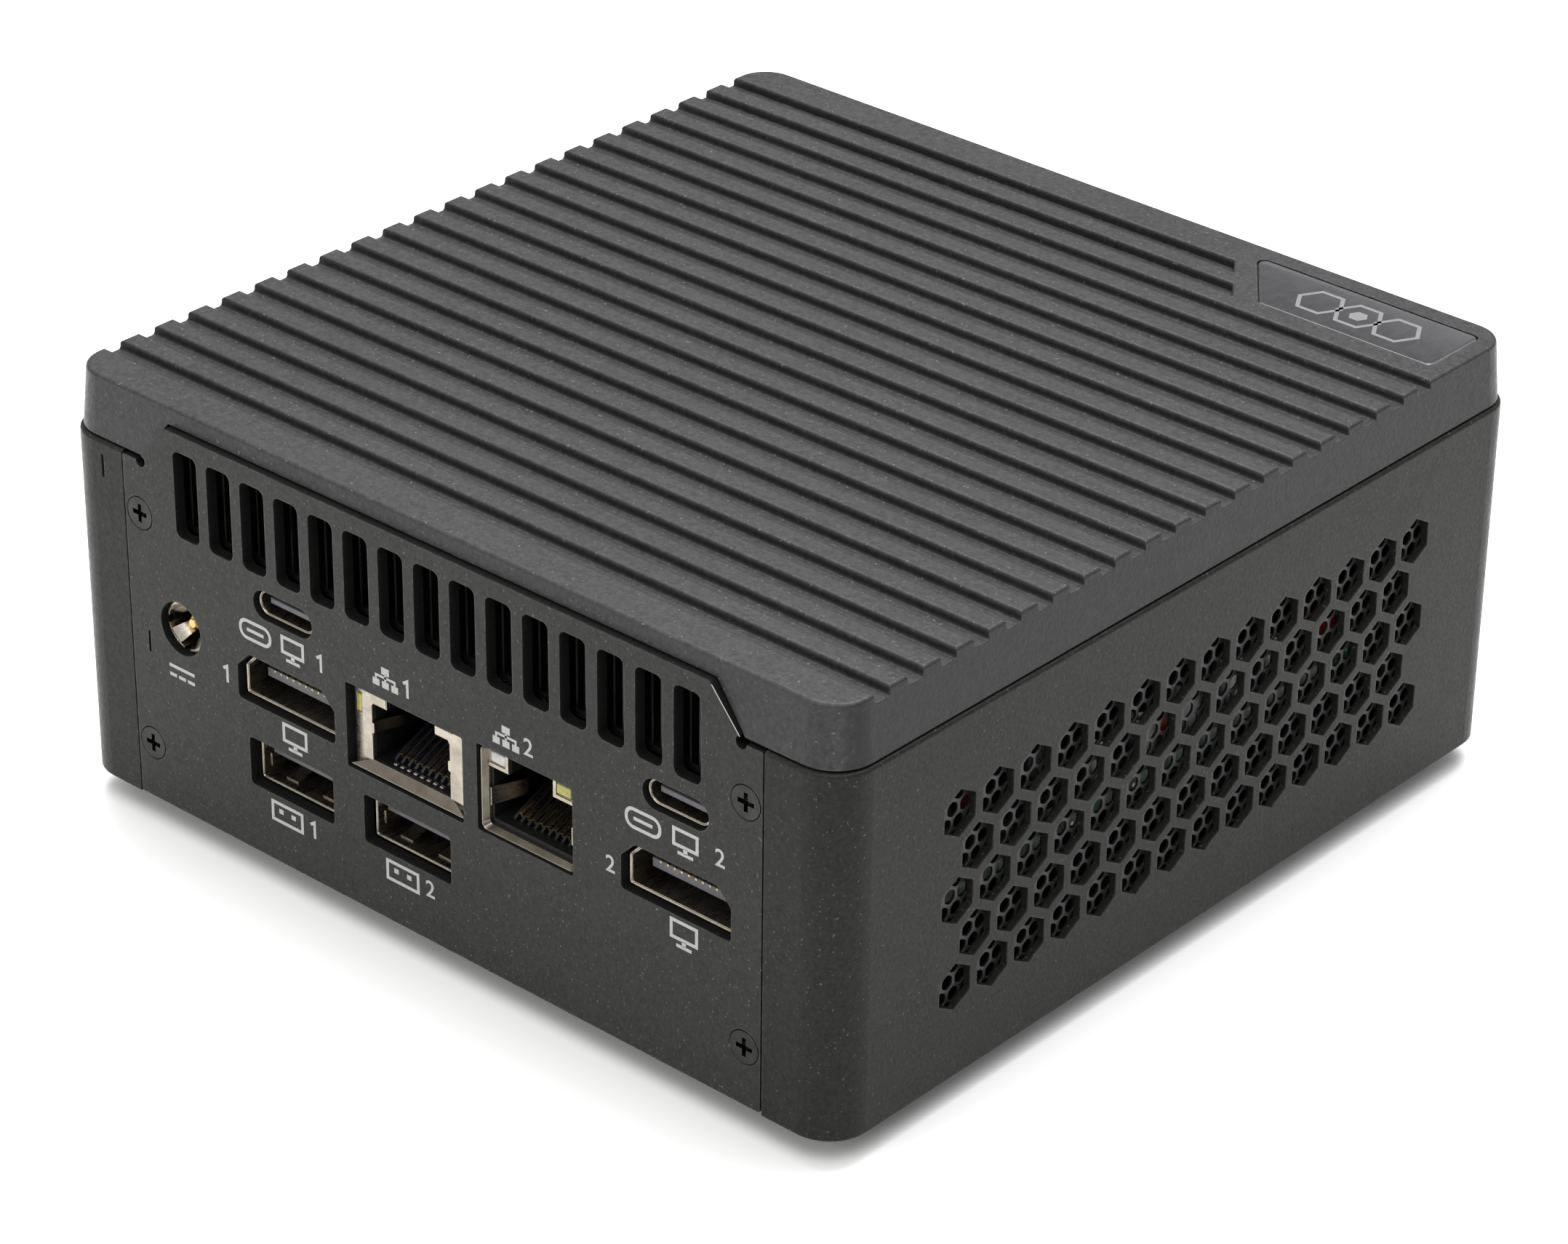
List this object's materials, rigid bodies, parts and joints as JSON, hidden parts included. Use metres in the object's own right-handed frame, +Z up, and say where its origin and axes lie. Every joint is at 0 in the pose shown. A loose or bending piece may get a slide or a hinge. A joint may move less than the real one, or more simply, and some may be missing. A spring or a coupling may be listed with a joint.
{
  "type": "mini pc",
  "caption": "Compact desktop computer with a ribbed top cover, honeycomb side vents, a rear connector panel with exhaust slots, and a front power button.",
  "frame": {"origin": "centre of the footprint, on the surface the feet stand on", "axes": "+Z up, +Y out of the rear connector panel, +X to the left when the rear panel is faced; the front panel with the power button faces -Y"},
  "size_m": [0.117, 0.1184, 0.0555],
  "materials": {
    "lid_plastic": "fine spark-eroded texture, satin",
    "case_plastic": "fine texture, satin",
    "panel_plastic": "fine texture, satin",
    "badge": "satin, bright chamfered edge",
    "black_screw": "black zinc",
    "steel_screw": "bright zinc",
    "foot_rubber": "matt",
    "brass_part": "turned",
    "port_steel": "nickel plated",
    "port_plastic": "moulded black",
    "port_tongue": "moulded black with plated contacts",
    "contact_gold": "gold plated",
    "jack_light": "clear tinted",
    "mesh_metal": "black",
    "board_mask": "solder mask",
    "chip_black": "moulded package",
    "copper": "lacquered copper",
    "fin_alloy": "thin sheet",
    "blower_plastic": "moulded black",
    "rotor_plastic": "moulded black",
    "cell_steel": "stamped steel",
    "coil_grey": "pressed powder",
    "cap_can": "drawn can",
    "cable_black": "extruded sleeve",
    "button_plastic": "satin black",
    "light_ring": "frosted clear"
  },
  "bodies": {
    "case": {"top_cover": "lid_plastic", "badge_plate": "badge", "main_body": "case_plastic", "rear_io_panel": "panel_plastic", "rear_panel_screws": "black_screw", "front_panel": "panel_plastic", "power_button_light_pipe": "light_ring", "power_switch_body": "port_steel", "bottom_cover": "case_plastic", "bottom_cover_screws": "black_screw", "rubber_feet": "foot_rubber", "bracket_inserts": "brass_part", "honeycomb_mesh_left": "mesh_metal", "honeycomb_mesh_right": "mesh_metal", "mainboard": "board_mask", "board_screws": "steel_screw", "video_port_shells": "port_steel", "video_port_tongues": "port_tongue", "type_c_shells": "port_steel", "type_c_tongues": "port_tongue", "port_stack_housings": "port_plastic", "type_a_shells": "port_steel", "type_a_tongues": "port_tongue", "type_a_bases": "port_plastic", "audio_jack": "port_plastic", "dc_jack_body": "port_plastic", "dc_jack_sleeve": "port_steel", "dc_jack_pin": "brass_part", "network_jack_shields": "port_steel", "network_jack_inserts": "port_plastic", "network_jack_lights": "jack_light", "network_jack_contacts": "contact_gold", "processor_package": "chip_black", "cold_plate": "copper", "cooler_screws": "steel_screw", "heat_pipes": "copper", "fin_stack": "fin_alloy", "blower_housing": "blower_plastic", "blower_cover": "blower_plastic", "fan_bearing": "brass_part", "fan_stator": "copper", "coin_cell": "cell_steel", "coin_cell_holder": "port_plastic", "power_inductors": "coil_grey", "capacitors": "cap_can", "memory_sockets": "port_plastic", "memory_modules": "board_mask", "ssd_module": "board_mask", "card_sockets": "port_plastic", "radio_module": "board_mask", "standoffs": "brass_part", "module_screws": "steel_screw", "antennas": "copper", "antenna_cables": "cable_black"},
    "fan": {"fan_rotor": "rotor_plastic", "fan_shaft": "steel_screw"},
    "button": {"power_button": "button_plastic", "power_switch_plunger": "port_plastic"}
  },
  "joints": [
    {"name": "fan_spin", "type": "hinge", "parent": "case", "child": "fan", "pos_m": [0, 0.006, 0.0458], "axis": [0, 0, 1], "continuous": true},
    {"name": "power_button_press", "type": "slide", "parent": "case", "child": "button", "axis": [0, 1, 0], "range_m": [0, 0.0005], "stiffness_N_per_m": 700, "springref_m": -0.0006}
  ]
}
